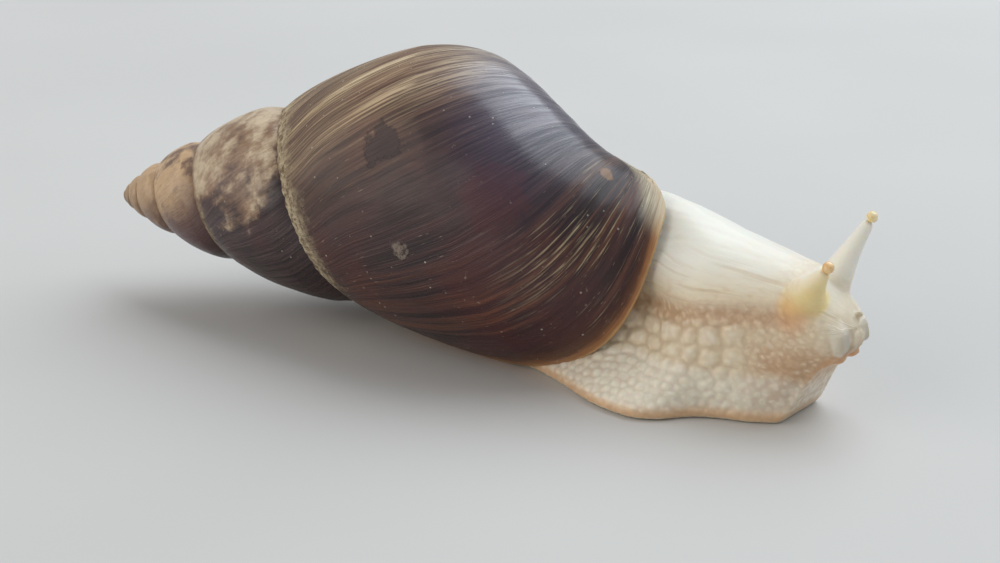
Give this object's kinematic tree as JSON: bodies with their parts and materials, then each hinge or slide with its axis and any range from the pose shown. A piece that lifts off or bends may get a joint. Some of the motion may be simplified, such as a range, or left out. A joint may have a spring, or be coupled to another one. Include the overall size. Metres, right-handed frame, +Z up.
{
  "type": "giant african land snail",
  "caption": "Still life-size giant land snail crawling with head and feelers out: tall pointed coiled shell in glossy dark brown, ivory body on a broad flat foot.",
  "frame": {"origin": "on the floor under the middle of the foot, about halfway along the shell", "axes": "+X runs along the shell from its tip towards the head, +Y is the snail's left, +Z is up; the body itself heads 20 degrees to the right of +X"},
  "size_m": [0.1567, 0.0605, 0.0568],
  "materials": {
    "shell": "glossy dark purple-brown with fine growth lines and an amber lip",
    "flesh": "moist ivory skin with tubercles and fine wrinkles",
    "sole": "moist cream skin, tan at the foot's edge",
    "feeler": "moist skin, yellow to orange-tan",
    "eye": "wet glossy bulb"
  },
  "bodies": {
    "root": {"shell": "shell", "mantle_collar": "flesh", "head": "flesh", "neck": "flesh", "trunk": "flesh", "foot_front": "sole", "foot_middle": "sole", "tail": "sole", "tentacle_right": "feeler", "tentacle_left": "feeler", "eye_right": "eye", "eye_left": "eye", "feeler_right": "flesh", "feeler_left": "flesh", "lip_right": "feeler", "lip_left": "feeler"}
  },
  "joints": []
}
